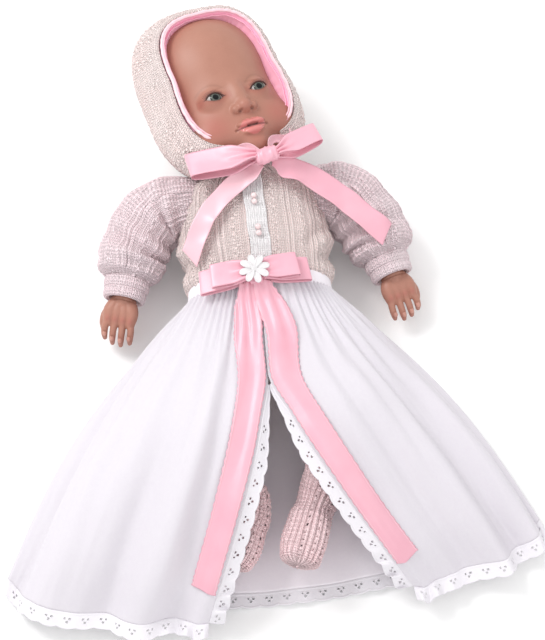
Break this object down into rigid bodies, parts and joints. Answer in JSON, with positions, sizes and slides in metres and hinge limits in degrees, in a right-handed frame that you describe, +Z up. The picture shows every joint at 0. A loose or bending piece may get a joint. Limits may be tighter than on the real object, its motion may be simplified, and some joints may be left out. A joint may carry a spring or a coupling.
{
  "type": "baby doll",
  "caption": "Baby doll with porcelain head, forearms and lower legs on a stuffed cloth body, dressed in a knitted and batiste christening gown, bonnet and booties.",
  "frame": {"origin": "middle of the lying doll's box, on the surface it lies on", "axes": "+X to the doll's left, +Y from the feet to the crown, +Z up from the surface, towards the doll's front"},
  "size_m": [0.4265, 0.518, 0.1197],
  "materials": {
    "porcelain": "matte tinted bisque porcelain",
    "calico": "plain woven cotton over stuffing",
    "tie_cord": "twisted cotton cord",
    "pink_knit": "fine pale pink knitting in moss and cable stitch",
    "white_knit": "fine white knitting",
    "pink_satin": "pink satin ribbon with stitched edges",
    "satin_lining": "deep pink satin lining",
    "batiste": "white semi-sheer cotton batiste",
    "eyelet_trim": "white broderie trim with eyelets and a scalloped edge",
    "glass_eye": "glossy glass eye with a grey-green iris",
    "pearl": "pearl lustre",
    "pompom": "cut white yarn"
  },
  "bodies": {
    "torso": {"torso_cloth": "calico", "bodice": "pink_knit", "neckband": "white_knit", "placket": "white_knit", "waistband": "white_knit", "skirt_back": "batiste", "hem_trim_back": "eyelet_trim", "waist_bow_knot": "pink_satin", "flower_applique": "eyelet_trim", "pearl_1_upper": "pearl", "pearl_1_lower": "pearl", "pearl_2_upper": "pearl", "pearl_2_lower": "pearl", "waist_bow_loop_left": "pink_satin", "waist_bow_tail_left": "pink_satin", "skirt_front_left": "batiste", "slit_trim_left": "eyelet_trim", "hem_trim_left": "eyelet_trim", "waist_bow_loop_right": "pink_satin", "waist_bow_tail_right": "pink_satin", "skirt_front_right": "batiste", "slit_trim_right": "eyelet_trim", "hem_trim_right": "eyelet_trim"},
    "neck": {"neck_casing": "calico", "neck_tie": "tie_cord"},
    "head": {"head_shell": "porcelain", "eye_left": "glass_eye", "eye_right": "glass_eye", "bonnet_shell": "pink_knit", "bonnet_lining": "satin_lining", "bonnet_trim": "pink_satin", "chin_bow_knot": "pink_satin", "chin_tie_left": "pink_satin", "chin_bow_loop_left": "pink_satin", "chin_bow_tail_left": "pink_satin", "chin_tie_right": "pink_satin", "chin_bow_loop_right": "pink_satin", "chin_bow_tail_right": "pink_satin"},
    "upper_arm_left": {"upper_arm_left": "calico", "arm_tie_left": "tie_cord", "sleeve_left": "pink_knit", "cuff_left": "pink_knit"},
    "forearm_left": {"forearm_left": "porcelain"},
    "upper_leg_left": {"upper_leg_left": "calico", "leg_tie_left": "tie_cord"},
    "lower_leg_left": {"lower_leg_left": "porcelain", "bootie_left": "pink_knit", "bootie_pompom_left": "pompom"},
    "upper_arm_right": {"upper_arm_right": "calico", "arm_tie_right": "tie_cord", "sleeve_right": "pink_knit", "cuff_right": "pink_knit"},
    "forearm_right": {"forearm_right": "porcelain"},
    "upper_leg_right": {"upper_leg_right": "calico", "leg_tie_right": "tie_cord"},
    "lower_leg_right": {"lower_leg_right": "porcelain", "bootie_right": "pink_knit", "bootie_pompom_right": "pompom"}
  },
  "joints": [
    {"name": "head_nod", "type": "hinge", "parent": "torso", "child": "neck", "pos_m": [0.0026, 0.1228, 0.06], "axis": [1, 0, 0], "range_deg": [-8, 8]},
    {"name": "head_turn", "type": "hinge", "parent": "neck", "child": "head", "pos_m": [0.0026, 0.1228, 0.06], "axis": [-0.3016, 0.948, 0.1018], "range_deg": [-35, 35], "deforming": ["chin_bow_loop_left", "chin_bow_tail_left", "chin_bow_loop_right", "chin_bow_tail_right"]},
    {"name": "shoulder_left", "type": "hinge", "parent": "torso", "child": "upper_arm_left", "pos_m": [0.0641, 0.0935, 0.046], "axis": [-1, 0, 0], "range_deg": [-10, 95]},
    {"name": "forearm_swivel_left", "type": "hinge", "parent": "upper_arm_left", "child": "forearm_left", "pos_m": [0.1101, 0.0455, 0.031], "axis": [0.2755, -0.955, -0.1102], "range_deg": [-40, 40]},
    {"name": "shoulder_right", "type": "hinge", "parent": "torso", "child": "upper_arm_right", "pos_m": [-0.0519, 0.0935, 0.046], "axis": [-1, 0, 0], "range_deg": [-10, 95]},
    {"name": "forearm_swivel_right", "type": "hinge", "parent": "upper_arm_right", "child": "forearm_right", "pos_m": [-0.0979, 0.0455, 0.031], "axis": [-0.2755, -0.955, -0.1102], "range_deg": [-40, 40]},
    {"name": "hip_left", "type": "hinge", "parent": "torso", "child": "upper_leg_left", "pos_m": [0.0361, -0.0415, 0.044], "axis": [-1, 0, 0], "range_deg": [0, 30], "deforming": ["skirt_front_left", "slit_trim_left", "hem_trim_left", "waist_bow_tail_left"]},
    {"name": "leg_swivel_left", "type": "hinge", "parent": "upper_leg_left", "child": "lower_leg_left", "pos_m": [0.0661, -0.1065, 0.054], "axis": [-0.4787, -0.8447, -0.2393], "range_deg": [-4, 18]},
    {"name": "hip_right", "type": "hinge", "parent": "torso", "child": "upper_leg_right", "pos_m": [-0.0239, -0.0415, 0.044], "axis": [-1, 0, 0], "range_deg": [0, 30], "deforming": ["skirt_front_right", "slit_trim_right", "hem_trim_right", "waist_bow_tail_right"]},
    {"name": "leg_swivel_right", "type": "hinge", "parent": "upper_leg_right", "child": "lower_leg_right", "pos_m": [-0.0539, -0.1065, 0.054], "axis": [0.5581, -0.7814, -0.2791], "range_deg": [-18, 4]}
  ]
}
